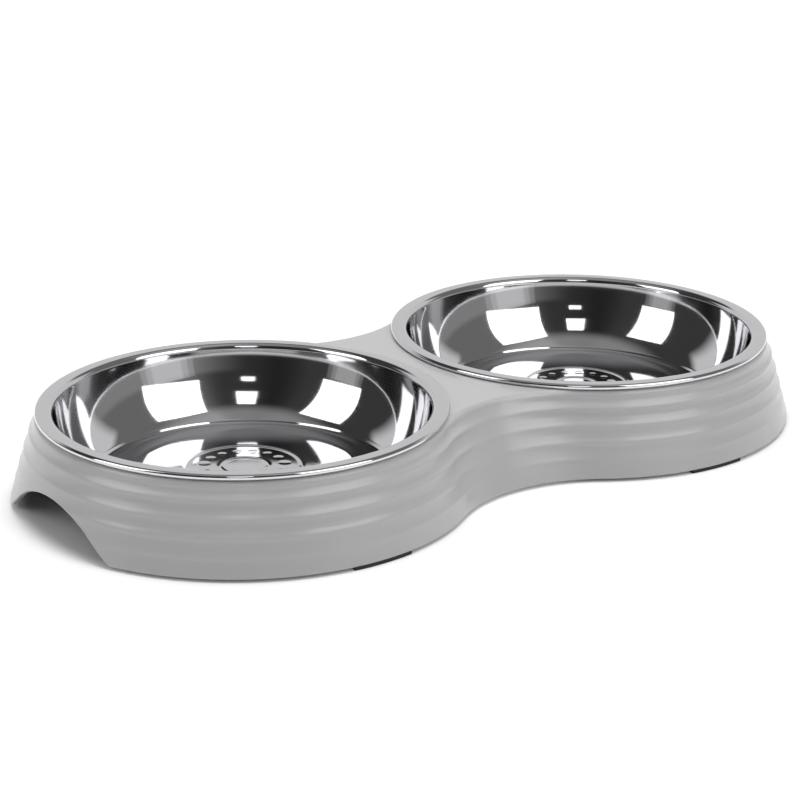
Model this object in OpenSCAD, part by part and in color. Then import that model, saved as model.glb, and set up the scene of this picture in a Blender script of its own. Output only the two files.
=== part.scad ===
// Double pet bowl: two steel bowls with rolled rims, dropped into a
// wave-ribbed moulded stand that rests on four rubber feet.
// The origin is on the floor, midway between the bowls. X runs from bowl to bowl.

/* [Bowls] */
// Clear gap between the rims of the two bowls
rim_gap = 11; // [8:1:30]
// Outside diameter of a bowl over its rolled edge
rim_d = 170; // [162:1:172]
// Width of the flat flange round a bowl's mouth
flange_w = 7.2; // [6:0.2:9]
// Thickness of the rolled edge
bead_d = 2.4; // [2:0.1:3]
// Thickness of the steel sheet
sheet_t = 0.7; // [0.5:0.1:0.8]
// Depth from the flange down to the ledge round the bowl's bottom
bowl_depth = 30.3; // [26:0.5:31]
// How far the wall comes in between the mouth and the ledge
wall_run = 14; // [11:0.5:18]
// Share of that run that the wall makes in a straight slope
straight_share = 0.23; // [0.1:0.01:0.3]
// Share of that run that it makes in an even curve; the rest is the tighter bend at the bottom
round_share = 0.59; // [0.3:0.01:0.65]
// Sharpness of that bend
bend_power = 5; // [3:0.5:6]
// Radius of the turn from the flange into the wall
mouth_r = 1.5; // [1:0.1:2]
// Drop from the ledge to the ring round the middle
ledge_drop = 1.2; // [0.8:0.1:1.5]
// Width of the ring round the raised middle
ring_w = 14; // [8:1:20]
// Height of the raised middle above the ring
middle_rise = 1.7; // [1:0.1:2.5]

/* [Stand] */
// Height of the stand's flat top above the floor
stand_h = 36.8; // [36:0.4:44]
// Wall thickness at the foot of the stand
wall_t = 2.8; // [2.4:0.1:3.2]
// Thickness of the top plate
top_t = 2.4; // [2:0.1:3]
// How far the wall's top stands outside the rims
rim_margin = 0.2; // [0:0.1:2]
// Gap between a bowl's wall and the edge of its hole
bowl_gap = 0.8; // [0.5:0.1:1.2]
// Depth of the collar round each hole, below the top plate
collar_drop = 3.6; // [2:0.2:5]
// Rounding of the edge round the top
top_edge_r = 2.6; // [2:0.2:2.8]
// Rounding of the lower edge
foot_edge_r = 0.5; // [0.3:0.1:0.8]
// Mean lean of the wall from the vertical, in degrees
side_lean = 17.8; // [14:0.2:19]
// How far the wall bulges outside that lean at half height
side_bulge = 0.6; // [0:0.1:1]

/* [Wave ribs] */
// Height of a rib with the hollow above it
rib_pitch = 6.9; // [5.5:0.1:9]
// Depth of the hollows between the ribs
rib_depth = 0.56; // [0.2:0.02:1]
// Height of the lowest rib's crest above the stand's lower edge
rib_start = 6.6; // [4:0.2:8]
// Share of that depth that is left at the foot of the wall
rib_fade = 0.7; // [0.4:0.1:1]

/* [Grips] */
// Height of a finger arch above the floor
grip_h = 18; // [14:0.5:20]
// Radius of the arch's crown
grip_crown_r = 48.6; // [40:0.2:52]
// Slope of the arch's legs, in degrees
grip_leg_slope = 35.5; // [32:0.5:40]

/* [Feet] */
// How far the rubber feet hold the stand's edge off the floor
foot_h = 1.6; // [1.2:0.1:2]
// Depth of the pocket that holds a foot
foot_pocket = 1.4; // [1:0.1:2]
// Radial width of a foot
foot_w = 4.8; // [4:0.2:6]
// Angle that a foot spans round its lobe, in degrees
foot_span = 19; // [14:1:24]
// Gap between a foot and its pocket's sides
foot_gap = 0.1; // [0.05:0.05:0.2]
// Rounding of a foot's lower edge
foot_round = 0.6; // [0.3:0.1:1]
// Width of the stand's edge outside a foot's pocket
foot_lip = 1.2; // [1:0.1:1.6]
// Thickness of the pad round a foot's pocket
pad_t = 1.6; // [1.2:0.1:2.4]

/* [Hidden] */
$fn = 96;
over = 10;

// Bowl, with heights measured from its flange face
rim_r = rim_d / 2;
bead_r = bead_d / 2;
bead_x = rim_r - bead_r;
curl_slot = sheet_t / 2;
mouth_x = rim_r - flange_w;
ledge_x = mouth_x - wall_run;
bowl_step_count = 12;
bottom_share = 1 - straight_share - round_share;
function bend(s) = straight_share * s + round_share * s ^ 2 + bottom_share * s ^ bend_power;
function wall_point(s) = [mouth_x - wall_run * bend(s), -bowl_depth * s, 0];
step_run_share = 0.9;
middle_run_share = 1.4;
ring_x = ledge_x - step_run_share * ledge_drop;
ring_z = -bowl_depth - ledge_drop;
middle_edge_x = ring_x - ring_w;
middle_x = middle_edge_x - middle_run_share * middle_rise;
middle_z = ring_z + middle_rise;
crease_share = 0.4;
inner_crease_r = crease_share * sheet_t;
outer_crease_r = inner_crease_r + sheet_t;
bowl_line = [
  [0, middle_z, 0],
  [middle_x, middle_z, outer_crease_r],
  [middle_edge_x, ring_z, inner_crease_r],
  [ring_x, ring_z, inner_crease_r],
  [ledge_x, -bowl_depth, outer_crease_r],
  for (i = [bowl_step_count - 1:-1:1]) wall_point(i / bowl_step_count),
  [mouth_x, 0, mouth_r],
  [mouth_x + 2 * mouth_r, 0, 0]
];

// Stand. The centres of lobes and waist lie on 3-4-5 triangles, so their walls meet smoothly.
fine = 1000;
function neat(v) = round(v * fine) / fine;
unit = neat((rim_d + rim_gap) / 6);
half_spacing = 3 * unit;
waist_y = 4 * unit;
centre_gap = 5 * unit;
wall_h = stand_h - foot_h;
flange_z = stand_h + bead_d;
hole_r = mouth_x + sheet_t + bowl_gap;
ceiling_z = stand_h - top_t;
collar_share = 0.8;
collar_t = collar_share * top_t;
inner_thin_share = 0.7;
inner_corner_share = 0.8;

// How far the wall has come in from its foot, at a share of its height
function rib_wave(z) = cos(360 * (z - rib_start) / rib_pitch);
function rib_size(s) = rib_depth / 2 * (rib_fade + (1 - rib_fade) * s);
function bulge(s) = side_bulge * 4 * s * (1 - s);
function inset(s) = s * wall_h * tan(side_lean) - bulge(s) - rib_size(s) * rib_wave(s * wall_h);

wall_step_count = 26;
edge_step_count = 5;
edge_low_angle = 12;
edge_start_share = 1 - top_edge_r * (1 - sin(edge_low_angle)) / wall_h;
foot_start_share = foot_edge_r / wall_h;
edge_inset = inset(edge_start_share) + top_edge_r * cos(edge_low_angle);
function edge_angle(i) = edge_low_angle + (90 - edge_low_angle) * i / edge_step_count;
function wall_share(i) = foot_start_share + (edge_start_share - foot_start_share) * i / wall_step_count;
outer_wall = [
  [neat(inset(foot_start_share) + foot_edge_r), foot_h],
  for (i = [0:wall_step_count]) [neat(inset(wall_share(i))), neat(foot_h + wall_h * wall_share(i))],
  for (i = [1:edge_step_count]) [
    neat(edge_inset - top_edge_r * cos(edge_angle(i))),
    neat(stand_h - top_edge_r * (1 - sin(edge_angle(i))))
  ]
];
top_inset = inset(1);
lobe_r = neat(rim_r + rim_margin + top_inset);
waist_r = centre_gap - lobe_r;
inner_edge_r = inner_corner_share * top_edge_r;
inner_top = neat(top_inset + inner_thin_share * wall_t);
inner_wall = [
  [wall_t, foot_h - over],
  [wall_t, foot_h],
  [neat(inner_top - inner_edge_r / 2), ceiling_z - inner_edge_r],
  [neat(inner_top + inner_edge_r), ceiling_z]
];

// Grip arches
crown_z = grip_h - grip_crown_r;
leg_inset = 0.05;
leg_top_y = (grip_crown_r - leg_inset) * sin(grip_leg_slope);
leg_top_z = crown_z + (grip_crown_r - leg_inset) * cos(grip_leg_slope);
leg_run = (leg_top_z + over) / tan(grip_leg_slope);

// Feet
foot_outer_r = lobe_r - foot_lip - foot_gap;
foot_inner_r = foot_outer_r - foot_w;
foot_top_z = foot_h + foot_pocket;
pad_outer_r = lobe_r - wall_t / 2;
pad_inner_r = foot_inner_r - foot_gap - pad_t;
socket_span = foot_span + 2 * atan(foot_gap / foot_outer_r);
pad_span = socket_span + 2 * atan(pad_t / foot_outer_r);

// Outlines, whose points are [x, y, radius of the rounding]
function flat2(p) = [p[0], p[1]];
function unit2(v) = v / norm(v);
function right_of(v) = [v[1], -v[0]];
function before(p, k) = flat2(p[(k + len(p) - 1) % len(p)]);
function after(p, k) = flat2(p[(k + 1) % len(p)]);
function turn(a, b, c) = sign((b[0] - a[0]) * (c[1] - b[1]) - (b[1] - a[1]) * (c[0] - b[0]));
function turn_at(p, k) = turn(before(p, k), p[k], after(p, k));

// The two tangent points and the centre of a rounded corner
function corner(p, k) = let (
    b = flat2(p[k]),
    u = unit2(before(p, k) - b),
    v = unit2(after(p, k) - b),
    half = acos(u * v) / 2,
    reach = p[k][2] / tan(half)
  ) [b + u * reach, b + v * reach, b + unit2(u + v) * p[k][2] / sin(half)];

module rounded_outline(p) {
  ends = len(p) - 1;
  rounded = [for (k = [0:ends]) if (p[k][2] > 0) k];
  difference() {
    union() {
      polygon([for (k = [0:ends]) each p[k][2] > 0 ? [corner(p, k)[0], corner(p, k)[1]] : [flat2(p[k])]]);
      for (k = rounded) if (turn_at(p, k) > 0) translate(corner(p, k)[2]) circle(r = p[k][2]);
    }
    for (k = rounded) if (turn_at(p, k) < 0) translate(corner(p, k)[2]) circle(r = p[k][2]);
  }
}

// The underside of a sheet whose upper side is the line p
function under_shift(p, k) = let (
    a = right_of(unit2(flat2(p[k]) - flat2(p[max(k - 1, 0)]))),
    b = right_of(unit2(flat2(p[k + 1]) - flat2(p[k])))
  ) sheet_t * (a + b) / (1 + a * b);
function under_point(p, k) = k == 0 || k == len(p) - 1
  ? [p[k][0], p[k][1] - sheet_t, 0]
  : [p[k][0] + under_shift(p, k)[0], p[k][1] + under_shift(p, k)[1], p[k][2] + sheet_t * turn_at(p, k)];

// Everything above a line that runs from the axis out to the flange
module above(line, outer_x) {
  rounded_outline([each line, [outer_x, line[len(line) - 1][1], 0], [outer_x, over, 0], [0, over, 0]]);
}

module bowl_profile() {
  last = len(bowl_line) - 1;
  difference() {
    above([for (k = [0:last]) under_point(bowl_line, k)], bead_x);
    above(bowl_line, bead_x + over);
  }
  difference() {
    translate([bead_x, -bead_r]) circle(r = bead_r);
    translate([bead_x, -bead_r]) circle(r = bead_r - sheet_t);
    translate([bead_x - bead_d, -sheet_t - curl_slot]) square([bead_d, curl_slot]);
  }
}

module bowl(side) {
  translate([side * half_spacing, 0, flange_z]) rotate_extrude() bowl_profile();
}

module upright(bottom, top) {
  translate([0, 0, bottom - over]) linear_extrude(top - bottom + 2 * over) children();
}

// A body with the stand's outline, whose wall follows the list of [inset, z]
module stand_body(wall) {
  bottom = wall[0][1];
  top = wall[len(wall) - 1][1];
  for (side = [-1, 1]) {
    difference() {
      translate([side * half_spacing, 0, 0]) rotate_extrude()
        polygon([[0, bottom], for (w = wall) [lobe_r - w[0], w[1]], [0, top]]);
      upright(bottom, top) polygon([
        [side * half_spacing, 0],
        [-side * half_spacing, 2 * waist_y],
        [-side * half_spacing, -2 * waist_y]
      ]);
    }
    intersection() {
      upright(bottom, top) polygon([[-half_spacing, 0], [half_spacing, 0], [0, side * waist_y]]);
      translate([0, side * waist_y, 0]) rotate_extrude()
        polygon([
          for (k = [len(wall) - 1:-1:0]) [waist_r + wall[k][0], wall[k][1]],
          [centre_gap + over, bottom],
          [centre_gap + over, top]
        ]);
    }
  }
}

module collar(side) {
  translate([side * half_spacing, 0, ceiling_z - collar_drop])
    cylinder(r = hole_r + collar_t, h = collar_drop + top_t / 2);
}

module hole(side) {
  translate([side * half_spacing, 0, ceiling_z - collar_drop - over])
    cylinder(r = hole_r, h = top_t + collar_drop + 2 * over);
}

module grip_outline() {
  polygon([
    [-leg_top_y - leg_run, -over],
    [leg_top_y + leg_run, -over],
    [leg_top_y, leg_top_z],
    [-leg_top_y, leg_top_z]
  ]);
  translate([0, crown_z]) circle(r = grip_crown_r);
}

module grip_cut(side) {
  translate([side < 0 ? -half_spacing - lobe_r - over : half_spacing, 0, 0])
    rotate([90, 0, 90]) linear_extrude(lobe_r + over) grip_outline();
}

// A bar bent round a lobe's centre
module bent_bar(inner, outer, low, high, span) {
  rotate([0, 0, -span / 2]) rotate_extrude(angle = span)
    translate([inner, low]) square([outer - inner, high - low]);
}

module at_foot(side, way) {
  translate([side * half_spacing, 0, 0]) rotate([0, 0, way * 90]) children();
}

module foot_pad(side, way) {
  at_foot(side, way) bent_bar(pad_inner_r, pad_outer_r, foot_h, foot_top_z + pad_t, pad_span);
}

module foot_socket(side, way) {
  at_foot(side, way)
    bent_bar(foot_inner_r - foot_gap, foot_outer_r + foot_gap, foot_h - over, foot_top_z, socket_span);
}

module foot(side, way) {
  at_foot(side, way) rotate([0, 0, -foot_span / 2]) rotate_extrude(angle = foot_span)
    rounded_outline([
      [foot_inner_r, 0, foot_round],
      [foot_outer_r, 0, foot_round],
      [foot_outer_r, foot_top_z, 0],
      [foot_inner_r, foot_top_z, 0]
    ]);
}

module stand_shell() {
  color("#a6a6a7")
  difference() {
    union() {
      difference() {
        stand_body(outer_wall);
        stand_body(inner_wall);
      }
      for (side = [-1, 1]) collar(side);
      for (side = [-1, 1]) for (way = [-1, 1]) foot_pad(side, way);
    }
    for (side = [-1, 1]) {
      hole(side);
      grip_cut(side);
      for (way = [-1, 1]) foot_socket(side, way);
    }
  }
}

module left_bowl() {
  color("#c9cacc") bowl(-1);
}

module right_bowl() {
  color("#c9cacc") bowl(1);
}

module front_left_foot() {
  color("#1c1c1d") foot(-1, -1);
}

module front_right_foot() {
  color("#1c1c1d") foot(1, -1);
}

module back_left_foot() {
  color("#1c1c1d") foot(-1, 1);
}

module back_right_foot() {
  color("#1c1c1d") foot(1, 1);
}

stand_shell();
left_bowl();
right_bowl();
front_left_foot();
front_right_foot();
back_left_foot();
back_right_foot();
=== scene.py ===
"""Double pet bowl: the looks of its stand, two steel bowls and four rubber feet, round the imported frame."""

import math

import bpy
import numpy as np
from bpy.props import FloatProperty, FloatVectorProperty, IntProperty, PointerProperty
from bpy.types import Operator, Panel, PropertyGroup
from mathutils import Matrix, Vector


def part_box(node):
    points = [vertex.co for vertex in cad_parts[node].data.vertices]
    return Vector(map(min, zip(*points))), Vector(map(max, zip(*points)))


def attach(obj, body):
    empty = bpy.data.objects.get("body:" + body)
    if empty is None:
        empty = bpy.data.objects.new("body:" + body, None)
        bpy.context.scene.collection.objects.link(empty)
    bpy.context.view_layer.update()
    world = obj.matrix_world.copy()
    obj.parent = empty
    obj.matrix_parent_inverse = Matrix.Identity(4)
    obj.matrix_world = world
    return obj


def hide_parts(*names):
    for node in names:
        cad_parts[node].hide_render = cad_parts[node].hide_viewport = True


bl_info = {
    "name": "Double Pet Bowl",
    "version": (1, 0, 0),
    "blender": (4, 5, 0),
    "location": "View3D > Sidebar > Pet Bowl",
    "description": "Dresses the frame of a double pet bowl: ribbed stand, steel bowls and rubber feet",
    "category": "Object",
}

# Sizes and places are in millimetres, but in metres in the property groups, the materials and the stage

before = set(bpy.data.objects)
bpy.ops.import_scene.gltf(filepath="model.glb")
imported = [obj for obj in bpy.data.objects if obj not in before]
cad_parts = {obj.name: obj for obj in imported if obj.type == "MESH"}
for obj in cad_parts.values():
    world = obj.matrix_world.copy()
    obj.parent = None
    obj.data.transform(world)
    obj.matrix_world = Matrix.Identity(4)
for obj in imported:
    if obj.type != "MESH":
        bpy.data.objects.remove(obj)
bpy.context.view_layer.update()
MM = 0.001
STAND_LOW, STAND_HIGH = (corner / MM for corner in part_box("stand_shell"))
BOWL_LOW, BOWL_HIGH = (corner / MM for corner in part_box("right_bowl"))

# The bowls' centres lie at x = -BOWL_X and BOWL_X
BOWL_X = (BOWL_LOW[0] + BOWL_HIGH[0]) / 2
RIM_R = (BOWL_HIGH[0] - BOWL_LOW[0]) / 2
FLANGE_Z = BOWL_HIGH[2]
BOWL_LOW_Z = BOWL_LOW[2]
LOBE_R = STAND_HIGH[1]
TOP_Z = STAND_HIGH[2]
# The dressed edge hangs a little lower than the solid's, for the narrow gap over the floor in the photo
EDGE_DROP = 0.3
EDGE_Z = STAND_LOW[2] - EDGE_DROP

# The stand's outer wall and its rounded shoulder
LOBE_LOW_R = LOBE_R - 0.25
LOBE_TOP_R = 84.6
WALL_BULGE = 0.6
SHOULDER_R = 2.6
SHOULDER_DEGREES = 12
SHOULDER_Z = TOP_Z - SHOULDER_R * (1 - math.sin(math.radians(SHOULDER_DEGREES)))

# The wall's ribs
CREST_Z = 9.4
# Shares of the wall's height between which they grow, and the height over which they end at the shoulder
RIB_GROWTH_SHARES = (0.1, 0.85)
RIB_END_H = 2.0
# Shares of their depth that are left over the finger arches and in the waist
ARCH_RIB_SHARE = 0.25
WAIST_RIB_SHARE = 0.2

# The stand's lower edge, ceiling and finger arches
LOWER_ROUND = 0.5
CEILING_Z = TOP_Z - 2.4
COVE_R = 2.0
ARCH_CROWN_R = 48.6
ARCH_LEG_SLOPE = math.radians(35.5)
ARCH_EASE = 0.35

# The holes in the stand's top, each with a short collar under it
HOLE_R = 79.3
HOLE_ROUND = 0.6
COLLAR_R = 81.2
COLLAR_Z = CEILING_Z - 3.6
COLLAR_ROUND = 0.5

# A bowl: its wall, its floor and the relief pressed into its middle
WALL_DROP = 30.3
LEDGE_W = 1.0
RING_W = 14.0
MIDDLE_RISE = 3.4
STEP_RUN = 0.7 * MIDDLE_RISE
CREASE_R = 0.35
BEAD_RADII = (24.0, 10.0)
BEAD_RISE = 0.22
BEAD_W = 0.8
DIMPLE_COUNT = 16
DIMPLE_RING_R = 17.0
DIMPLE_R = 1.9
DIMPLE_DEPTH = 0.12

# A foot: a strip round its lobe whose upper outer edge is cut off
FOOT_R = LOBE_R - 0.3
FOOT_H = 2.0
FOOT_CUT = (0.7, 0.5)
# The middle of the front right foot, as an angle round its lobe
FOOT_ANGLE = math.radians(-91.2)


def srgb(text):
    """A hex colour turned to the linear RGBA that shader sockets take."""
    part = [int(text[i : i + 2], 16) / 255 for i in (1, 3, 5)]
    return tuple(c / 12.92 if c <= 0.04045 else ((c + 0.055) / 1.055) ** 2.4 for c in part) + (1.0,)


def soft_step(x):
    """A soft step from 0 to 1 as x goes from 0 to 1."""
    x = np.clip(x, 0, 1)
    return x * x * (3 - 2 * x)


def angles(first, last, count):
    """That many angles in radians, in even steps between two that are given in degrees, as a column."""
    return np.radians(np.linspace(first, last, count))[:, None]


def mesh_piece(name, patches, body, surface, instead_of):
    """One closed piece from grids of points, each (rows, columns, 3), whose shared edges are merged. Its faces
    look along the cross product of a step to the next column and a step to the next row, and a face with two
    merged corners becomes a triangle."""
    points, quads, base = [], [], 0
    for grid in patches:
        rows, cols = grid.shape[:2]
        index = base + np.arange(rows * cols).reshape(rows, cols)
        corners = (index[:-1, :-1], index[:-1, 1:], index[1:, 1:], index[1:, :-1])
        quads.append(np.stack(corners, -1).reshape(-1, 4))
        points.append(grid.reshape(-1, 3))
        base += rows * cols
    points = np.concatenate(points)
    _, first, back = np.unique(np.round(points, 4), axis=0, return_index=True, return_inverse=True)
    points = points[first] * MM
    quads = back.reshape(-1)[np.concatenate(quads)]
    same = quads == np.roll(quads, 1, axis=1)
    whole = quads[same.sum(1) == 0]
    thin = quads[same.sum(1) == 1]
    tris = thin[~same[same.sum(1) == 1]].reshape(-1, 3)
    loops = np.concatenate([whole.reshape(-1), tris.reshape(-1)])
    sizes = np.concatenate([np.full(len(whole), 4), np.full(len(tris), 3)])

    mesh = bpy.data.meshes.new(name)
    mesh.vertices.add(len(points))
    mesh.vertices.foreach_set("co", points.astype(np.float32).reshape(-1))
    mesh.loops.add(len(loops))
    mesh.loops.foreach_set("vertex_index", loops.astype(np.int32))
    mesh.polygons.add(len(sizes))
    mesh.polygons.foreach_set("loop_start", (np.cumsum(sizes) - sizes).astype(np.int32))
    mesh.polygons.foreach_set("loop_total", sizes.astype(np.int32))
    mesh.polygons.foreach_set("use_smooth", np.ones(len(sizes), bool))
    mesh.update(calc_edges=True)
    mesh.validate()
    mesh.materials.append(surface)
    piece = bpy.data.objects.new(name, mesh)
    bpy.context.scene.collection.objects.link(piece)
    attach(piece, body)
    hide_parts(instead_of)
    return piece


# Materials


def material(name):
    """A new node material with its Principled shader."""
    made = bpy.data.materials.new(name)
    made.use_nodes = True
    return made, made.node_tree, made.node_tree.nodes["Principled BSDF"]


def add(tree, kind, inputs=(), links=(), **settings):
    """Adds one shader node with its settings, socket values and links into it, and returns it."""
    node = tree.nodes.new(kind)
    for key, value in settings.items():
        setattr(node, key, value)
    for key, value in dict(inputs).items():
        node.inputs[key].default_value = value
    for key, source in dict(links).items():
        tree.links.new(source, node.inputs[key])
    return node


def put(shader, **values):
    """Sets sockets of the Principled shader by name, with spaces written as underscores."""
    for key, value in values.items():
        shader.inputs[key.replace("_", " ")].default_value = value


def satin_melamine(colour):
    """Moulded melamine, satin: a dense pale grey resin with a faint grain of filler and a soft, broad gloss."""
    made, tree, shader = material("satin moulded melamine, light grey")
    put(shader, Metallic=0.0, IOR=1.56, Specular_IOR_Level=0.5)
    where = add(tree, "ShaderNodeTexCoord").outputs["Object"]
    # Filler specks about 0.6 mm apart, and cloudy tone about 25 mm across
    specks = add(
        tree, "ShaderNodeTexNoise", {"Scale": 1600.0, "Detail": 2.0, "Roughness": 0.6}, {"Vector": where}
    ).outputs["Fac"]
    clouds = add(
        tree, "ShaderNodeTexNoise", {"Scale": 40.0, "Detail": 3.0, "Roughness": 0.55}, {"Vector": where}
    ).outputs["Fac"]
    both = add(tree, "ShaderNodeMix", {"Factor": 0.25}, {"A": specks, "B": clouds})
    tone = add(tree, "ShaderNodeValToRGB", (), {"Fac": both.outputs["Result"]})
    dark, light = tone.color_ramp.elements
    dark.position, light.position = 0.3, 0.7
    dark.color = tuple(c * 0.98 for c in colour[:3]) + (1.0,)
    light.color = tuple(min(1.0, c * 1.02) for c in colour[:3]) + (1.0,)
    tree.links.new(tone.outputs["Color"], shader.inputs["Base Color"])
    gloss_range = {"From Min": 0.3, "From Max": 0.7, "To Min": 0.21, "To Max": 0.24}
    gloss = add(tree, "ShaderNodeMapRange", gloss_range, {"Value": clouds})
    tree.links.new(gloss.outputs["Result"], shader.inputs["Roughness"])
    # The mould's fine spark texture, 0.04 mm deep
    bump = add(tree, "ShaderNodeBump", {"Strength": 0.12, "Distance": 0.00004}, {"Height": specks})
    tree.links.new(bump.outputs["Normal"], shader.inputs["Normal"])
    return made


def polished_steel(colour):
    """Pressed stainless steel, mirror polished: sharp dark and bright reflections with faint turned marks."""
    made, tree, shader = material("mirror-polished stainless steel")
    put(shader, Base_Color=colour, Metallic=1.0)
    where = add(tree, "ShaderNodeTexCoord").outputs["Object"]
    # Both bowls share the pattern: it is folded over x = 0 and centred on the right bowl
    folded = add(tree, "ShaderNodeVectorMath", (), {0: where}, operation="ABSOLUTE").outputs["Vector"]
    centred = add(tree, "ShaderNodeMapping", {"Location": (-BOWL_X * MM, 0.0, 0.0)}, {"Vector": folded})
    # Polishing marks are rings about 0.4 mm apart; drawn coarser than real ones so that they show
    parts = add(tree, "ShaderNodeSeparateXYZ", (), {"Vector": centred.outputs["Vector"]}).outputs
    flat = add(tree, "ShaderNodeCombineXYZ", (), {"X": parts["X"], "Y": parts["Y"]}).outputs["Vector"]
    radius = add(tree, "ShaderNodeVectorMath", (), {"Vector": flat}, operation="LENGTH").outputs["Value"]
    turned = add(tree, "ShaderNodeCombineXYZ", (), {"X": radius, "Y": parts["Z"]}).outputs["Vector"]
    marks = add(
        tree, "ShaderNodeTexNoise", {"Scale": 2500.0, "Detail": 2.0, "Roughness": 0.5}, {"Vector": turned}
    ).outputs["Fac"]
    # Smears as from wiping, about 22 mm across
    smears = add(
        tree, "ShaderNodeTexNoise", {"Scale": 45.0, "Detail": 4.0, "Roughness": 0.6}, {"Vector": where}
    ).outputs["Fac"]
    mixed = add(tree, "ShaderNodeMix", {"Factor": 0.6}, {"A": marks, "B": smears}).outputs["Result"]
    rough_range = {"From Min": 0.3, "From Max": 0.7, "To Min": 0.03, "To Max": 0.09}
    rough = add(tree, "ShaderNodeMapRange", rough_range, {"Value": mixed})
    tree.links.new(rough.outputs["Result"], shader.inputs["Roughness"])
    bump = add(tree, "ShaderNodeBump", {"Strength": 0.05, "Distance": 0.00001}, {"Height": marks})
    tree.links.new(bump.outputs["Normal"], shader.inputs["Normal"])
    return made


def matt_rubber(colour):
    """Black moulded rubber: deep, dry and slightly dusty, with a fine pebble."""
    made, tree, shader = material("matt black rubber")
    put(shader, Metallic=0.0, IOR=1.52, Roughness=0.78)
    where = add(tree, "ShaderNodeTexCoord").outputs["Object"]
    # Pebble about 0.7 mm across, and dust in patches of about 4.5 mm
    pebble = add(tree, "ShaderNodeTexVoronoi", {"Scale": 1400.0}, {"Vector": where}).outputs["Distance"]
    dust = add(tree, "ShaderNodeTexNoise", {"Scale": 220.0, "Detail": 3.0}, {"Vector": where})
    tone = add(tree, "ShaderNodeValToRGB", (), {"Fac": dust.outputs["Fac"]})
    dark, light = tone.color_ramp.elements
    dark.position, light.position = 0.35, 0.75
    dark.color = colour
    light.color = tuple(min(1.0, c * 1.8) for c in colour[:3]) + (1.0,)
    tree.links.new(tone.outputs["Color"], shader.inputs["Base Color"])
    bump = add(tree, "ShaderNodeBump", {"Strength": 0.3, "Distance": 0.00008}, {"Height": pebble})
    tree.links.new(bump.outputs["Normal"], shader.inputs["Normal"])
    return made


# Sizes and colours that a user can change


def length(name, description, default):
    """A length in metres whose default is given in millimetres."""
    return FloatProperty(name=name, description=description, default=default * MM, unit="LENGTH")


def angle_size(name, description, default):
    """An angle whose default is given in degrees."""
    return FloatProperty(name=name, description=description, default=math.radians(default), subtype="ANGLE")


def tint(name, description, default):
    """A colour whose default is given as an sRGB hex value."""
    colour = srgb(default)
    return FloatVectorProperty(name=name, description=description, default=colour, subtype="COLOR", size=4)


class StandSizes(PropertyGroup):
    rib_pitch: length("Rib pitch", "Height of a rib and its hollow", 6.9)
    rib_depth: length("Rib depth", "Depth of the hollows", 1.1)
    waist_low: length("Waist at foot", "Half width of the waist at the floor", 68.5)
    waist_top: length("Waist at top", "Half width of the waist at the top", 52.4)
    wall: length("Wall", "Thickness of the moulded wall", 2.8)
    grip_height: length("Grip height", "Height of a finger arch", 18.0)
    colour: tint("Colour", "Colour of the resin", "#A6A6A7")
    columns: IntProperty(name="Columns", description="Points round a quarter of the outline", default=104)


class BowlSizes(PropertyGroup):
    flange: length("Flange", "Width of the flat flange", 7.2)
    bead: length("Rolled edge", "Thickness of the rolled edge", 2.4)
    sheet: length("Sheet", "Thickness of the steel", 0.7)
    run: length("Wall run", "How far the wall comes in", 14.0)
    mouth_round: length("Mouth round", "Radius from the wall into the flange", 2.4)
    colour: tint("Colour", "Tint of the steel", "#D6D6D8")
    columns: IntProperty(name="Columns", description="Points round a bowl", default=240)


class FootSizes(PropertyGroup):
    span: angle_size("Span", "Angle of a foot round its lobe", 16.4)
    width: length("Width", "Radial width of a foot", 5.6)
    colour: tint("Colour", "Colour of the rubber", "#161617")


class StageSizes(PropertyGroup):
    azimuth: angle_size("Azimuth", "The camera's angle round the stand", -36.805)
    elevation: angle_size("Elevation", "The camera's height angle", 19.122)
    roll: angle_size("Roll", "The camera's roll", 0.366)
    distance: length("Distance", "From the camera to the point it looks at", 1080.7)
    lens: FloatProperty(
        name="Lens", description="Focal length on a 36 mm sensor", default=105.04, subtype="DISTANCE_CAMERA"
    )


# Stand


def quarter(lobe_r, waist_w, lobe_count, waist_count):
    """Points of a quarter of the outline in its plane, from the left end to the middle of the waist.
    The lobe is a circle of radius lobe_r round (-BOWL_X, 0). The waist is a circle that touches it from
    outside and passes the middle line at waist_w. Both may be arrays with one value to each column, and rows
    above that. The first fifth of the lobe, over the finger arch, has a third of its points."""
    close = lobe_count // 3
    at_arch = np.linspace(0, 0.2, close, endpoint=False)
    turn = np.concatenate([at_arch, np.linspace(0.2, 1, lobe_count - close), np.ones(waist_count)])
    arc = np.concatenate([np.zeros(lobe_count), np.linspace(0, 1, waist_count + 1)[1:]])
    waist_r = (BOWL_X**2 + waist_w**2 - lobe_r**2) / (2 * (lobe_r - waist_w))
    centre = waist_w + waist_r
    angle = math.pi - turn * (math.pi - np.arctan2(centre, BOWL_X))
    swing = (1 - arc) * np.arctan2(BOWL_X, centre)
    on_lobe = arc == 0
    x = np.where(on_lobe, -BOWL_X + lobe_r * np.cos(angle), -waist_r * np.sin(swing))
    y = np.where(on_lobe, lobe_r * np.sin(angle), centre - waist_r * np.cos(swing))
    return np.stack([x, y], -1)


def all_round(quarter_points):
    """A quarter of the outline, rows by columns by (x, y, z), mirrored to the whole loop, closed on itself."""
    flip_x = quarter_points[:, ::-1] * (-1, 1, 1)
    back = np.concatenate([quarter_points, flip_x[:, 1:]], 1)
    front = back[:, ::-1] * (1, -1, 1)
    return np.concatenate([back, front[:, 1:]], 1)


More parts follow.
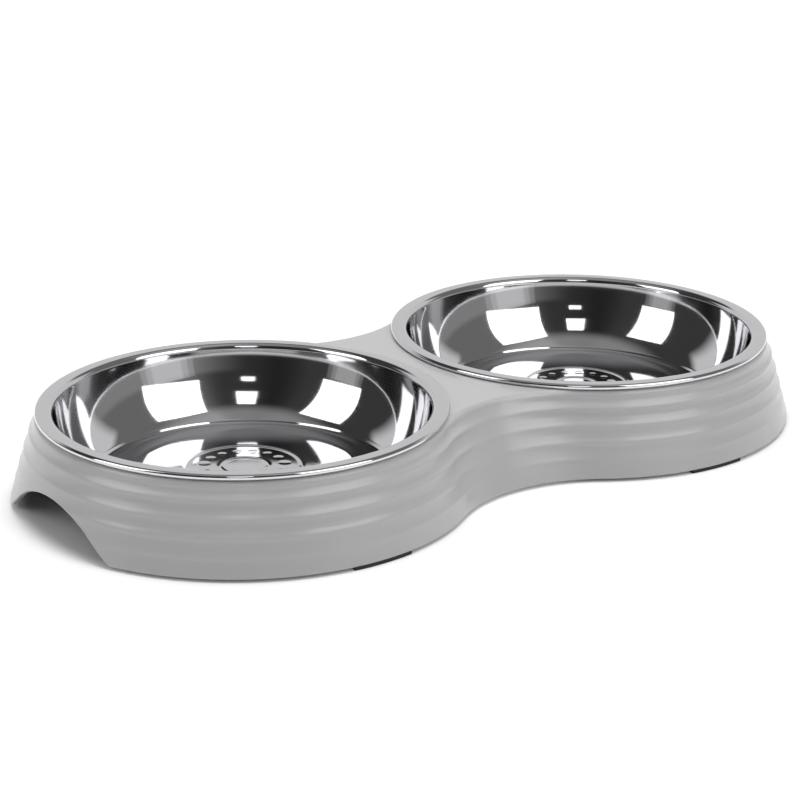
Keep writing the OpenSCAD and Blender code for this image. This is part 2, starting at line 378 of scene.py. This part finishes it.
def lean_line(low, high, z, sizes, depth):
    """Half width at height z: a straight lean from low at the foot to high at the top, bulged by WALL_BULGE
    half way up, with ribs (cos t + 0.3 cos 2t + 0.12 cos 3t) / 1.12, which gives narrow crests and broad
    hollows. They fade out towards the foot and under the shoulder. depth scales them."""
    share = (z - EDGE_Z) / (TOP_Z - EDGE_Z)
    turn = 2 * math.pi * (z - CREST_Z) / (sizes.rib_pitch / MM)
    wave = (np.cos(turn) + 0.3 * np.cos(2 * turn) + 0.12 * np.cos(3 * turn)) / 1.12
    start, full = RIB_GROWTH_SHARES
    fade = np.clip((share - start) / (full - start), 0, 1) * np.clip((SHOULDER_Z - z) / RIB_END_H, 0, 1)
    rib = depth * sizes.rib_depth / MM / 2 * fade
    return low + (high - low) * share + WALL_BULGE * 4 * share * (1 - share) + rib * wave


def outer_widths(z, sizes, depth=0.0):
    """The lobe's radius and the waist's half width at height z, smooth or with ribs of that depth."""
    waist = (sizes.waist_low / MM, sizes.waist_top / MM)
    return lean_line(LOBE_LOW_R, LOBE_TOP_R, z, sizes, depth), lean_line(*waist, z, sizes, depth)


def arch_height(y, sizes):
    """Height of the lower edge at the ends: a round crown that runs out in straight legs, whose corners at the
    foot are eased as (h + sqrt(h^2 + ARCH_EASE^2)) / 2, h being the height over the foot."""
    centre = sizes.grip_height / MM - ARCH_CROWN_R
    reach = ARCH_CROWN_R * math.sin(ARCH_LEG_SLOPE)
    side = np.abs(y)
    crown = centre + np.sqrt(np.maximum(ARCH_CROWN_R**2 - np.minimum(side, reach) ** 2, 0))
    leg = centre + ARCH_CROWN_R * math.cos(ARCH_LEG_SLOPE) - (side - reach) * math.tan(ARCH_LEG_SLOPE)
    over = np.where(side < reach, crown, leg) - EDGE_Z
    return EDGE_Z + (over + np.sqrt(over**2 + ARCH_EASE**2)) / 2


def stand_wall(sizes):
    """A quarter of the wall as rows: from the ceiling down its inner face, round its lower edge, and up its
    ribbed outer face over the rounded shoulder to the flat top."""
    count, across = sizes.columns, sizes.columns // 3
    wall_t = sizes.wall / MM

    # The ribs are deepest along the sides, and fade over the finger arches and in the waist
    from_end = np.concatenate([np.linspace(0, 1, count), np.ones(across)])
    from_lobe = np.concatenate([np.zeros(count), np.linspace(0, 1, across + 1)[1:]])
    beside_arch = ARCH_RIB_SHARE + (1 - ARCH_RIB_SHARE) * soft_step((from_end - 0.1) / 0.35)
    beside_waist = 1 - (1 - WAIST_RIB_SHARE) * soft_step((from_lobe - 0.4) / 0.5)

    def rows(widths, inset, z):
        """The outline with those widths at heights z, drawn in by inset."""
        flat = quarter(widths[0] - inset, widths[1] - inset, count, across)
        return np.concatenate([flat, np.broadcast_to(z, flat.shape[:2])[..., None]], -1)

    def lower_edge(inset):
        """Height of the wall's lower edge in each column: the arch at the ends, the foot elsewhere. The wall
        leans, so its place depends on that height, which is found by averaging twelve times."""
        z = np.full((1, count + across), EDGE_Z)
        for _ in range(12):
            at = rows(outer_widths(z, sizes), inset, z)
            z = (z + np.where(at[..., 0] < -BOWL_X, arch_height(at[..., 1], sizes), EDGE_Z)) / 2
        return z

    def face(inset, top_z, depth, row_count):
        """Rows up the wall from just over its lower edge to top_z, in even steps in each column."""
        low = lower_edge(inset) + LOWER_ROUND
        z = low + np.linspace(0, 1, row_count)[:, None] * (top_z - low)
        return rows(outer_widths(z, sizes, depth), inset, z)

    outside = face(0.0, SHOULDER_Z, beside_arch * beside_waist, 80)
    bend = angles(SHOULDER_DEGREES, 90, 9)
    inset = SHOULDER_R * (np.cos(bend[0]) - np.cos(bend))
    shoulder = rows(outer_widths(SHOULDER_Z, sizes), inset, TOP_Z - SHOULDER_R * (1 - np.sin(bend)))

    cove_z = CEILING_Z - COVE_R
    inside = face(wall_t, cove_z, 0.0, 22)
    bend = angles(0, 90, 6)
    inset = wall_t + COVE_R * (1 - np.cos(bend))
    cove = rows(outer_widths(cove_z, sizes), inset, CEILING_Z - COVE_R * (1 - np.sin(bend)))

    # The lower edge: a quarter round outside, a flat, and a quarter round inside
    start, stop = outside[:1], inside[:1]
    inward = (stop - start) * (1, 1, 0)
    inward /= np.linalg.norm(inward, axis=-1, keepdims=True)
    bend = angles(0, 90, 6)[..., None]
    inward = LOWER_ROUND * (1 - np.cos(bend)) * inward
    down = LOWER_ROUND * np.sin(bend) * (0, 0, 1)
    out_round = start + inward - down
    in_round = stop - inward - down
    inner_half = [cove[:0:-1], inside[::-1], in_round[1:]]
    return np.concatenate([*inner_half, out_round[::-1], outside[1:], shoulder[1:]])


def ring(radius, z, angle):
    """Points round the left bowl's centre. Any of the three may be an array, with rows for rings."""
    x, y = -BOWL_X + radius * np.cos(angle), radius * np.sin(angle)
    return np.stack(np.broadcast_arrays(x, y, z), -1)


def angle_of(points):
    """The angle of points round the left bowl's centre."""
    return np.arctan2(points[..., 1], points[..., 0] + BOWL_X)


def plate(row, inner_r, z):
    """The left half of a flat plate between a hole of radius inner_r and the outline, as rings along rays from
    the hole's centre. Its border is the half outline from row, a quarter, closed by the middle line x = 0."""
    tip = row[:, -1:]
    middle_line = tip * (0, 1, 0) * np.linspace(1, -1, 41)[None, :, None] + tip * (0, 0, 1)
    border = np.concatenate([row[:, ::-1] * (1, -1, 1), row[:, 1:], middle_line[:, 1:]], 1)
    hole = ring(inner_r, z, angle_of(border))
    share = np.linspace(0, 1, 6)[:, None, None]
    return hole * (1 - share) + border * share


def socket(top_angle, under_angle):
    """The hole's rounded lip, its bore, and the collar's lower edge and outer face, as rings whose columns turn
    from top_angle to under_angle on the way down the bore."""
    bend = angles(0, 90, 5)
    lip = ring(HOLE_R + HOLE_ROUND * (1 - np.sin(bend)), TOP_Z - HOLE_ROUND * (1 - np.cos(bend)), top_angle)
    share = np.linspace(0, 1, 7)[:, None]
    collar_start = COLLAR_Z + COLLAR_ROUND
    bore_z = (TOP_Z - HOLE_ROUND) * (1 - share) + collar_start * share
    bore = ring(HOLE_R, bore_z, top_angle * (1 - share) + under_angle * share)
    bend = angles(0, 180, 9)
    half_t = (COLLAR_R - HOLE_R) / 2
    end = ring(HOLE_R + half_t * (1 - np.cos(bend)), collar_start - COLLAR_ROUND * np.sin(bend), under_angle)
    ceiling_ring = ring(COLLAR_R, CEILING_Z, under_angle)[None]
    return np.concatenate([lip, bore[1:], end[1:], ceiling_ring])


class PETBOWL_OT_stand(Operator):
    """Moulds the ribbed figure-eight stand"""

    bl_idname = "petbowl.stand"
    bl_label = "Stand"

    def execute(self, context):
        sizes = context.scene.pet_stand
        wall = stand_wall(sizes)
        top = plate(wall[-1:], HOLE_R + HOLE_ROUND, TOP_Z)
        under = plate(wall[:1], COLLAR_R, CEILING_Z)
        halves = [top, under[::-1], socket(angle_of(top[0]), angle_of(under[0]))[::-1]]
        others = [half[:, ::-1] * (-1, 1, 1) for half in halves]
        grey = satin_melamine(tuple(sizes.colour))
        patches = [all_round(wall)[::-1], *halves, *others]
        mesh_piece("ribbed_stand", patches, "stand", grey, "stand_shell")
        return {"FINISHED"}


# Bowls


def bowl_profile(sizes):
    """The upper face of the sheet as a line of (radius, height from the flange), in two parts: the raised
    middle, step, ring and ledge; and the wall r = mouth - run (0.23 s + 0.59 s^2 + 0.18 s^5), with s from 0 at
    the flange to 1 at the ledge, and a round of mouth_round from the wall into the flat flange."""
    flange, sheet, run, turn = (v / MM for v in (sizes.flange, sizes.sheet, sizes.run, sizes.mouth_round))
    mouth = RIM_R - flange
    # The wall's lean where the round begins, from the formula's slope 0.23 + 1.18 s at s = 0.03
    steep = math.atan(run * (0.23 + 1.18 * 0.03) / WALL_DROP)
    s = np.linspace(1, turn * (1 - math.sin(steep)) / WALL_DROP, 44)
    wall = np.stack([mouth - run * (0.23 * s + 0.59 * s**2 + 0.18 * s**5), -WALL_DROP * s], -1)
    bend = np.linspace(math.pi - steep, math.pi / 2, 11)[1:]
    centre = wall[-1, 0] + turn * math.cos(steep)
    mouth_bend = np.stack([centre + turn * np.cos(bend), -turn + turn * np.sin(bend)], -1)

    floor_z = BOWL_LOW_Z - FLANGE_Z + sheet
    ledge = mouth - run
    ring_out = ledge - LEDGE_W
    ring_in = ring_out - RING_W
    middle_r = ring_in - STEP_RUN
    # Each edge is eased over a small width and height before its corners are rounded
    step_top, step_foot, ledge_foot, wall_foot = (1.4, 0.15), (0.8, 0.1), (0.35, 0.12), (0.25, 0.12)
    floor_line = np.array(
        [
            (middle_r - step_top[0], floor_z + MIDDLE_RISE),
            (middle_r, floor_z + MIDDLE_RISE - step_top[1]),
            (ring_in, floor_z + step_foot[1]),
            (ring_in + step_foot[0], floor_z),
            (ring_out - ledge_foot[0], floor_z),
            (ring_out, floor_z + ledge_foot[1]),
            (ledge - wall_foot[0], -WALL_DROP - wall_foot[1]),
        ]
    )
    return floor_line, np.concatenate([wall, mouth_bend])


def rounded(points, radius, steps=4):
    """A line of points whose corners are replaced by short quadratic bends. Each starts and ends radius away
    from its corner, or 0.45 of the side where that is less."""
    before, at, after = points[:-2], points[1:-1], points[2:]

    def cut(side):
        """Where the bend meets the line from the corner to the next point on that side."""
        line = side - at
        long = np.linalg.norm(line, axis=1, keepdims=True)
        return at + line / long * np.minimum(radius, 0.45 * long)

    t = np.linspace(0, 1, steps)[None, :, None]
    bends = (1 - t) ** 2 * cut(before)[:, None] + 2 * t * (1 - t) * at[:, None] + t**2 * cut(after)[:, None]
    return np.concatenate([points[:1], bends.reshape(-1, 2), points[-1:]])


def bowl_section(sizes):
    """The closed section of a bowl as (radius, height from the flange): its upper face from the axis outwards,
    the rolled edge, and the under face back, which is the upper one moved by the sheet along its normal."""
    floor_line, wall = bowl_profile(sizes)
    sheet, radius = sizes.sheet / MM, sizes.bead / MM / 2
    bead_x = RIM_R - radius
    bends = rounded(np.concatenate([floor_line, wall[:2]]), CREASE_R)[:-1]
    # The middle has most of its points between 7.6 and 27 mm, where the relief is
    pressed = np.linspace(7.6, 27, 44)
    spread = np.concatenate([np.linspace(0, 7, 4), pressed, np.linspace(30, bends[0, 0], 6)[:-1]])
    centre = np.stack([spread, np.full(len(spread), bends[0, 1])], -1)
    upper = np.concatenate([centre, bends, wall[1:], [(bead_x, 0.0)]])
    along = np.gradient(upper, axis=0)
    normal = np.stack([along[:, 1], -along[:, 0]], -1)
    normal /= np.linalg.norm(normal, axis=1, keepdims=True)
    under = upper + normal * sheet
    under[:, 0] = np.maximum(under[:, 0], 0)
    # The under face stops short of the rolled edge, and a point under the flange joins the two
    under = under[under[:, 0] < bead_x - radius - 0.2]
    joint = [(bead_x - 0.25, -sheet)]

    curl = angles(90, -200, 24)[1:]
    around = np.concatenate([np.cos(curl), np.sin(curl)], 1)
    outer_curl = (bead_x, -radius) + radius * around
    inner_curl = (bead_x, -radius) + (radius - sheet) * around
    return np.concatenate([upper, outer_curl, inner_curl[::-1], joint, under[::-1]])


def relief(radius, angle):
    """Pressed relief of the flat middle: beads BEAD_RISE exp(-((r - R) / BEAD_W)^2) at each R of BEAD_RADII,
    and dimples DIMPLE_DEPTH exp(-(d / DIMPLE_R)^4) between them, d being the way to a dimple's middle."""
    beads = BEAD_RISE * sum(np.exp(-(((radius - bead_r) / BEAD_W) ** 2)) for bead_r in BEAD_RADII)
    step = 2 * math.pi / DIMPLE_COUNT
    off = (angle + step / 2) % step - step / 2
    away = np.hypot(radius * np.cos(off) - DIMPLE_RING_R, radius * np.sin(off))
    return beads - DIMPLE_DEPTH * np.exp(-((away / DIMPLE_R) ** 4))


def lathe(section, centre_x, base_z, columns):
    """A section of (radius, height) carried round a vertical axis and lifted by the relief."""
    angle = np.linspace(0, 2 * math.pi, columns + 1)[None, :]
    radius, height = section[:, :1], section[:, 1:]
    z = base_z + height + relief(radius, angle)
    grid = np.stack([centre_x + radius * np.cos(angle), radius * np.sin(angle), z], -1)
    grid[:, -1] = grid[:, 0]
    return grid


class PETBOWL_OT_bowls(Operator):
    """Spins the two pressed steel bowls"""

    bl_idname = "petbowl.bowls"
    bl_label = "Bowls"

    def execute(self, context):
        sizes = context.scene.pet_bowl
        section = bowl_section(sizes)
        steel = polished_steel(tuple(sizes.colour))
        for name, side in (("left_bowl", -1), ("right_bowl", 1)):
            grid = lathe(section, side * BOWL_X, FLANGE_Z, sizes.columns)
            mesh_piece(name + "_steel", [grid[::-1]], name, steel, name)
        return {"FINISHED"}


# Feet


def foot_patches(sizes):
    """The front right foot: a rounded section of (radius, height) carried along an arc round the right lobe's
    centre, and a flat fan from the section's middle at each end."""
    width = sizes.width / MM
    cut_in, cut_down = FOOT_CUT
    corners = [(0.0, 0.0), (0.0, FOOT_H - cut_down), (-cut_in, FOOT_H), (-width, FOOT_H), (-width, 0.0)]
    section = rounded(np.array([corners[-1], *corners, corners[0]]), CREASE_R)[1:-1]
    section = np.concatenate([section, section[:1]])

    def carried(points, angle):
        """Points of the section, set round the right lobe's centre at that angle."""
        radius = FOOT_R + points[..., 0]
        x, y = BOWL_X + radius * np.cos(angle), radius * np.sin(angle)
        return np.stack(np.broadcast_arrays(x, y, points[..., 1]), -1)

    angle = FOOT_ANGLE + np.linspace(-sizes.span / 2, sizes.span / 2, 40)
    share = np.linspace(0, 1, 3)[:, None, None]
    fan = np.array([-width / 2, FOOT_H / 2]) * (1 - share) + section[None] * share
    return carried(section[None], angle[::-1, None]), carried(fan[::-1], angle[0]), carried(fan, angle[-1])


class PETBOWL_OT_feet(Operator):
    """Lays the four rubber strips under the stand's edge"""

    bl_idname = "petbowl.feet"
    bl_label = "Feet"

    def execute(self, context):
        sizes = context.scene.pet_foot
        drawn = foot_patches(sizes)
        rubber = matt_rubber(tuple(sizes.colour))
        for name in ("front_left_foot", "front_right_foot", "back_left_foot", "back_right_foot"):
            flip = np.array([-1 if "left" in name else 1, -1 if "back" in name else 1, 1])
            # Mirroring once turns the faces inwards, so the rows of such a foot go the other way
            patches = [patch[:: int(flip.prod())] * flip for patch in drawn]
            mesh_piece(name + "_rubber", patches, "stand", rubber, name)
        return {"FINISHED"}


# Stage, in metres


def softbox(name, low, high, along, width, brightness, mirrored=True):
    """A rectangular light between the middles of its lower and upper edge, of that width along a horizontal
    direction, shining to the left of that direction. brightness is what a mirror shows of it, where 1 is white;
    its power is brightness times its area times pi."""
    low, high = Vector(low), Vector(high)
    up = (high - low).normalized()
    across = Vector((*along, 0.0))
    across = (across - across.dot(up) * up).normalized()
    data = bpy.data.lights.new(name, "AREA")
    data.shape = "RECTANGLE"
    data.size, data.size_y = width, (high - low).length
    data.energy = brightness * width * (high - low).length * math.pi
    light = bpy.data.objects.new(name, data)
    light.location = (low + high) / 2
    light.rotation_euler = Matrix((across, up, across.cross(up))).transposed().to_euler()
    light.visible_camera = False
    light.visible_glossy = mirrored
    bpy.context.scene.collection.objects.link(light)


def matt_floor(colour):
    """Matt white card, clean and even in colour, with painted light in its emission: none under the stand, so
    that the stand's inside stays dark as painted shade, a little from about the stand's edge outwards, which
    lightens the contact shadow round it, and more beyond about half a metre."""
    made, tree, shader = material("matt white card, painted light round the stand")
    put(shader, Base_Color=colour, Roughness=0.95, Emission_Color=srgb("#FFFFFF"), Specular_IOR_Level=0.2)
    where = add(tree, "ShaderNodeTexCoord").outputs["Object"]
    folded = add(tree, "ShaderNodeVectorMath", (), {0: where}, operation="ABSOLUTE").outputs["Vector"]
    lobe_centre = {1: (BOWL_X * MM, 0.0, 0.0)}
    away = add(tree, "ShaderNodeVectorMath", lobe_centre, {0: folded}, operation="DISTANCE").outputs["Value"]
    painted_light_levels = []
    # Painted light: distances from a lobe's centre where each emission starts and is full, and how strong it
    # then is.
    # The near one lightens the contact shadow at the stand's edge, and the far one makes the floor brighter
    # further out
    for start, end, strength in ((0.088, 0.1, 0.18), (0.36, 0.86, 1.0)):
        ramp = {"From Min": start, "From Max": end, "To Min": 0.0, "To Max": strength}
        painted_light_ramp = add(tree, "ShaderNodeMapRange", ramp, {"Value": away}, interpolation_type="SMOOTHSTEP")
        painted_light_levels.append(painted_light_ramp.outputs["Result"])
    # The floor's emission is painted light round the stand, and its absence under the stand is painted shade
    both = add(tree, "ShaderNodeMath", (), {0: painted_light_levels[0], 1: painted_light_levels[1]}, operation="MAXIMUM")
    tree.links.new(both.outputs["Value"], shader.inputs["Emission Strength"])
    return made


def studio_world():
    """A dim room round the stand. Its brightness by direction: a pale backdrop behind, up to about 35 degrees
    high, a thin bright line at the horizon, grey walls that are darkest in front and to the left and a little
    brighter low on the right, and a grey ceiling."""
    world = bpy.data.worlds.new("studio")
    world.use_nodes = True
    tree = world.node_tree
    where = add(tree, "ShaderNodeTexCoord").outputs["Generated"]
    height = add(tree, "ShaderNodeSeparateXYZ", (), {"Vector": where}).outputs["Z"]
    flat = add(tree, "ShaderNodeVectorMath", {1: (1.0, 1.0, 0.0)}, {0: where}, operation="MULTIPLY")
    flat = add(tree, "ShaderNodeVectorMath", (), {0: flat.outputs["Vector"]}, operation="NORMALIZE")
    towards = {}
    for side, angle in (("back", math.radians(53.0)), ("right", math.radians(-37.0))):
        aim = {1: (math.cos(angle), math.sin(angle), 0.0)}
        part = add(tree, "ShaderNodeVectorMath", aim, {0: flat.outputs["Vector"]}, operation="DOT_PRODUCT")
        towards[side] = part.outputs["Value"]

    # Soft steps of brightness: what they follow, where they start and end, and their values there
    steps = {
        "backdrop": (towards["back"], 0.3, 0.6, 0.0, 0.72),
        "below its top": (height, 0.5, 0.6, 1.0, 0.0),
        "horizon": (height, 0.04, 0.08, 0.72, 0.0),
        "not in front": (towards["back"], -0.97, -0.75, 0.25, 1.0),
        "walls": (towards["right"], -0.6, 0.3, 0.05, 0.18),
        "low walls": (towards["right"], 0.0, 0.5, 0.0, 0.1),
        "below their top": (height, 0.24, 0.34, 1.0, 0.0),
        "ceiling": (height, 0.78, 0.92, 0.0, 0.25),
    }
    level = {}
    for name, (value, start, end, first, last) in steps.items():
        ramp = {"From Min": start, "From Max": end, "To Min": first, "To Max": last}
        step = add(tree, "ShaderNodeMapRange", ramp, {"Value": value}, interpolation_type="SMOOTHSTEP")
        level[name] = step.outputs["Result"]
    for name, other, operation in (
        ("backdrop", "below its top", "MULTIPLY"),
        ("backdrop", "horizon", "MAXIMUM"),
        ("walls", "not in front", "MULTIPLY"),
        ("low walls", "below their top", "MULTIPLY"),
        ("walls", "low walls", "ADD"),
        ("walls", "ceiling", "ADD"),
        ("walls", "backdrop", "MAXIMUM"),
    ):
        joined = add(tree, "ShaderNodeMath", (), {0: level[name], 1: level[other]}, operation=operation)
        level[name] = joined.outputs["Value"]
    tree.links.new(level["walls"], tree.nodes["Background"].inputs["Strength"])
    tree.nodes["Background"].inputs["Color"].default_value = (1.0, 1.0, 1.0, 1.0)
    return world


class PETBOWL_OT_stage(Operator):
    """Sets up the pale floor, the soft lights and the camera"""

    bl_idname = "petbowl.stage"
    bl_label = "Stage"

    def execute(self, context):
        scene = context.scene
        stage = scene.pet_stage
        mesh = bpy.data.meshes.new("floor")
        mesh.from_pydata([(-9, -9, 0), (9, -9, 0), (9, 9, 0), (-9, 9, 0)], [], [(0, 1, 2, 3)])
        mesh.materials.append(matt_floor(srgb("#DDDDDD")))
        floor = bpy.data.objects.new("floor", mesh)
        scene.collection.objects.link(floor)

        softbox("right softbox", (0.27, -1.11, 0.47), (0.42, -0.79, 1.50), (0.96, 0.28), 0.87, 2.4)
        softbox("left softbox", (-1.27, 0.29, 0.37), (-0.84, 0.36, 1.18), (0.0, -1.0), 0.65, 2.4)
        softbox("middle softbox", (-1.33, -1.74, 1.78), (-1.33, -1.74, 3.05), (0.79, -0.61), 0.62, 2.2)
        softbox("small lamp", (-2.07, -2.70, 1.49), (-2.07, -2.70, 1.78), (0.79, -0.61), 0.54, 2.2)
        # Thin cloths hang from two softboxes nearly to the floor, one behind the other and each narrower
        for share, back in ((0.9, 0.0), (0.7, 0.01), (0.5, 0.02)):
            y, x = -1.11 - back, -1.27 - back
            softbox("right cloth", (0.27, y, 0.05), (0.27, y, 0.45), (0.96, 0.28), 0.87 * share, 0.13)
            softbox("left cloth", (x, 0.29, 0.05), (x, 0.29, 0.35), (0.0, -1.0), 0.65 * share, 0.13)
        softbox("overhead fill", (-0.2, -0.27, 1.4), (0.44, 0.59, 1.25), (0.8, -0.6), 1.1, 4.7, mirrored=False)
        scene.world = studio_world()
        scene.view_settings.view_transform = "Standard"

        data = bpy.data.cameras.new("photo camera")
        data.sensor_fit, data.sensor_width, data.lens = "HORIZONTAL", 36.0, stage.lens
        data.clip_start, data.clip_end = 0.02, 50.0
        camera = bpy.data.objects.new("photo camera", data)
        az, el = stage.azimuth, stage.elevation
        back = np.array([math.sin(az) * math.cos(el), -math.cos(az) * math.cos(el), math.sin(el)])
        look_at = np.array([30.77, 54.72, 0.0]) * MM
        camera.location = look_at + back * stage.distance
        camera.rotation_euler = (math.pi / 2 - el, 0.0, az)
        camera.rotation_euler.rotate_axis("Z", stage.roll)
        scene.collection.objects.link(camera)
        scene.camera = camera
        return {"FINISHED"}


class PETBOWL_PT_panel(Panel):
    """Lists the pieces of the double pet bowl"""

    bl_idname = "PETBOWL_PT_panel"
    bl_label = "Double Pet Bowl"
    bl_space_type = "VIEW_3D"
    bl_region_type = "UI"
    bl_category = "Pet Bowl"

    def draw(self, context):
        for operator, group in zip(OPERATORS, GROUPS):
            box = self.layout.box()
            box.operator(operator.bl_idname)
            sizes = getattr(context.scene, group)
            for key in sizes.bl_rna.properties.keys():
                if key not in ("rna_type", "name"):
                    box.prop(sizes, key)


OPERATORS = (PETBOWL_OT_stand, PETBOWL_OT_bowls, PETBOWL_OT_feet, PETBOWL_OT_stage)
GROUPS = {"pet_stand": StandSizes, "pet_bowl": BowlSizes, "pet_foot": FootSizes, "pet_stage": StageSizes}


def register():
    for made in (*GROUPS.values(), *OPERATORS, PETBOWL_PT_panel):
        bpy.utils.register_class(made)
    for name, group in GROUPS.items():
        setattr(bpy.types.Scene, name, PointerProperty(type=group))


def unregister():
    for name in GROUPS:
        delattr(bpy.types.Scene, name)
    for made in (PETBOWL_PT_panel, *reversed(OPERATORS), *GROUPS.values()):
        bpy.utils.unregister_class(made)


def main():
    register()
    bpy.ops.petbowl.stand()
    bpy.ops.petbowl.bowls()
    bpy.ops.petbowl.feet()
    bpy.ops.petbowl.stage()


if __name__ == "__main__":
    main()
